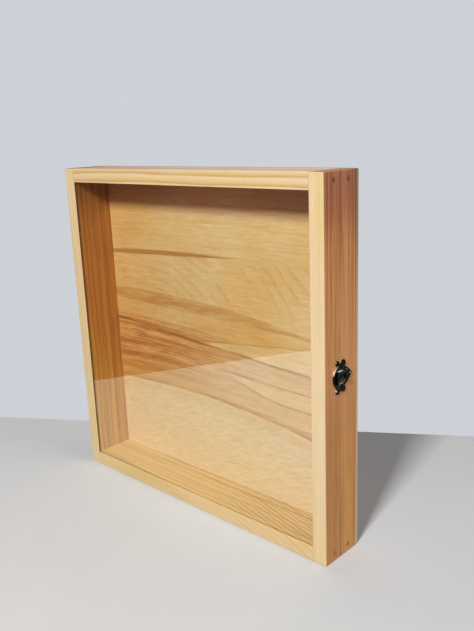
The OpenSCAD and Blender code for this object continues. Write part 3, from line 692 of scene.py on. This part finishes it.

# %% [markdown]
# ## The rear and the edge of the plywood
# The rear veneer is a plainer sheet, and its figure has nothing to do with the front's.
# The edge shows five plies. The first and the third are end grain and are painted darker,
# most of all high up, and the whole edge is paler towards its foot.

# %% The plywood's other faces
rear_grain = f.noise(f.vector(f.times(x, 0.02), 40.0, z), 7, 4, 0.6)
rear_colour = f.colour(f.step(rear_grain, 0.35, 0.7), (0.70, 0.50, 0.27), (0.56, 0.35, 0.16))
rear_colour = f.colour(1.0, rear_colour, f.vector(tone, tone, tone), "MULTIPLY")
colour = f.colour(f.step(ny, 0.5, 0.8), colour, rear_colour)
depth = f.less(y, case_high.y / MM - 5)
high_up = f.step(z, 290, 430)
first = f.times(f.step(depth, 1.1, 0.9), f.math("MULTIPLY_ADD", high_up, 0.4, 0.6))
third = f.times(f.step(depth, 1.9, 2.1), f.step(depth, 3.1, 2.9))
dark_ply = f.math("MAXIMUM", first, f.times(third, high_up))
edge_fibre = f.noise(f.scaled(spot, (0.4, 3, 0.4)), 0.6, 2)
edge_pale = f.colour(edge_fibre, (0.50, 0.35, 0.21), (0.62, 0.46, 0.30))
edge_foot_colour = f.colour(edge_fibre, (0.72, 0.47, 0.24), (0.84, 0.57, 0.31))
edge_pale = f.colour(high_up, edge_foot_colour, edge_pale)
edge_dark = f.colour(edge_fibre, (0.12, 0.055, 0.025), (0.26, 0.14, 0.07))
edge = f.colour(dark_ply, edge_pale, edge_dark)
on_edge = f.step(f.math("ABSOLUTE", ny), 0.7, 0.3)
colour = f.colour(on_edge, colour, edge)
f.surface(
    Base_Color=colour,
    Roughness=f.math("MULTIPLY_ADD", fibre, 0.16, 0.36),
    Coat_Weight=0.3,
    Coat_Roughness=0.25,
    Normal=f.bump(f.add(f.times(fibre, 0.5), f.times(grain, 0.3)), 0.00005),
)
paint(plywood, "back_panel")
print("plywood painted")

# %% [markdown]
# ## Dowels
# A dowel shows its end grain, which drinks varnish and turns dark. The dowels near the foot
# are a little paler.

# %% The finish of the dowels
dowels = bpy.data.materials.new("dowel_end_grain")
f = Finish(dowels)
spot = f.place_mm()
x, y, z = f.parts(spot)
grain = f.noise(f.scaled(spot, (0.05, 1, 1)), 0.7, 3)
colour = f.colour(grain, (0.16, 0.062, 0.019), (0.30, 0.13, 0.043))
colour = f.colour(f.times(f.step(z, 120, 60), 0.6), colour, (0.45, 0.21, 0.09))
f.surface(Base_Color=colour, Roughness=0.5, Normal=f.bump(grain, 0.00008))
paint(dowels, "door_corner_dowels", "tray_corner_dowels")
print("dowels painted")

# %% [markdown]
# ## Dark metal
# The latch and the hinges are stamped and cast metal with a brown-black lacquer. Under the
# lacquer the metal is dull, while the lacquer itself is smooth and throws small white
# glints: a metal base with a clear coat over it. Hands have rubbed the raised places, and
# bright painted highlights stand on the latch's curls, rim and flap ends.

# %% Where glints are painted on the latch
latch_face = case_w / 2 / MM + 0.9
latch_middle = height_mm / 2 + 0.5

# Places painted with bright glints, as painted highlights: along the depth, up from the
# latch's middle, and radius
GLINT_SPOTS = (
    (-10.4, 18.2, 1.1), (-2.6, 17.2, 1.3), (-10.0, -14.8, 1.7), (9.6, 6.4, 0.9), (16.8, 0.3, 1.4),
)


def latch_glints(f, x, y, z):
    """1 on the painted glints: the curls, the rim at the upper left and the flap's two ends."""
    along = f.less(y, seam_mm)
    rise = f.less(z, latch_middle)
    glinting = 0.0
    for spot_along, spot_rise, reach in GLINT_SPOTS:
        off = f.vector(f.less(along, spot_along), f.less(rise, spot_rise), 0.0)
        distance = f.node("VectorMath", operation="LENGTH")
        f.feed(distance.inputs[0], off)
        glinting = f.math("MAXIMUM", glinting, f.step(distance.outputs["Value"], reach, 0.4 * reach))
    toward_corner = f.add(f.times(along, -0.766), f.times(rise, 0.643))
    radius = f.math("SQRT", f.add(f.times(along, along), f.times(rise, rise)))
    rim = f.times(f.step(radius, 14.4, 14.8), f.step(radius, 15.7, 15.4))
    rim = f.times(rim, f.step(toward_corner, 13.6, 14.4))
    off_flap = f.math("ABSOLUTE", rise)
    ends = f.times(f.step(off_flap, 6.6, 7.2), f.step(off_flap, 8.3, 7.9))
    ends = f.times(ends, f.step(along, -9.5, -8.0), f.step(along, 2.0, -1.0))
    return f.math("MAXIMUM", glinting, f.math("MAXIMUM", rim, ends))


print("the latch has", len(GLINT_SPOTS), "worn curls")

# %% The finishes of the metal parts
def dark_bronze(name, dark, rubbed, share, rough=0.30, coat=0.8, glinting=None):
    material = bpy.data.materials.new(name)
    f = Finish(material)
    spot = f.place_mm()
    x, y, z = f.parts(spot)
    raised = f.step(f.math("ABSOLUTE", x), latch_face + 0.15, latch_face + 0.5)
    cloudy = f.step(f.noise(spot, 2.2, 4, 0.6), 0.42, 0.72)
    rub = f.times(cloudy, share, f.math("MULTIPLY_ADD", raised, 0.7, 0.3))
    colour = f.colour(rub, dark, rubbed)
    # painted highlights: the glint places are painted a near-white metal
    if glinting:
        patchy = f.math("MULTIPLY_ADD", f.noise(spot, 1.5, 3), 0.7, 0.6)
        glint_share = f.math("MULTIPLY", latch_glints(f, x, y, z), patchy, clamp=True)
        colour = f.colour(glint_share, colour, glinting)
    f.surface(
        Base_Color=colour,
        Metallic=1.0,
        Roughness=f.math("MULTIPLY_ADD", f.noise(spot, 0.8, 3), 0.25, rough - 0.12),
        Coat_Weight=coat,
        Coat_Roughness=0.08,
        Normal=f.bump(f.noise(spot, 0.5, 3), 0.00003),
    )
    return material


bronze = dark_bronze("antique_bronze", (0.005, 0.004, 0.003), (0.13, 0.085, 0.06), 0.35, 0.36, 0.15,
                     (0.95, 0.92, 0.88))
tack_brass = dark_bronze("tack_bronze", (0.04, 0.026, 0.015), (0.32, 0.22, 0.12), 0.6, 0.32, 0.4)
steel = dark_bronze("nail_steel", (0.35, 0.33, 0.31), (0.55, 0.53, 0.50), 0.6, 0.35, 0.0)
paint(bronze, "latch_door_plate", "latch_tray_plate", "latch_flap", "upper_hinge_tray_leaf")
paint(bronze, "upper_hinge_door_leaf", "lower_hinge_tray_leaf", "lower_hinge_door_leaf")
paint(tack_brass, "latch_door_tacks", "latch_tray_tacks", "latch_pin", "upper_hinge_pin")
paint(tack_brass, "lower_hinge_pin", "hinge_tray_screws", "hinge_door_screws")
paint(steel, "back_panel_nails")
print("metal painted")

# %% [markdown]
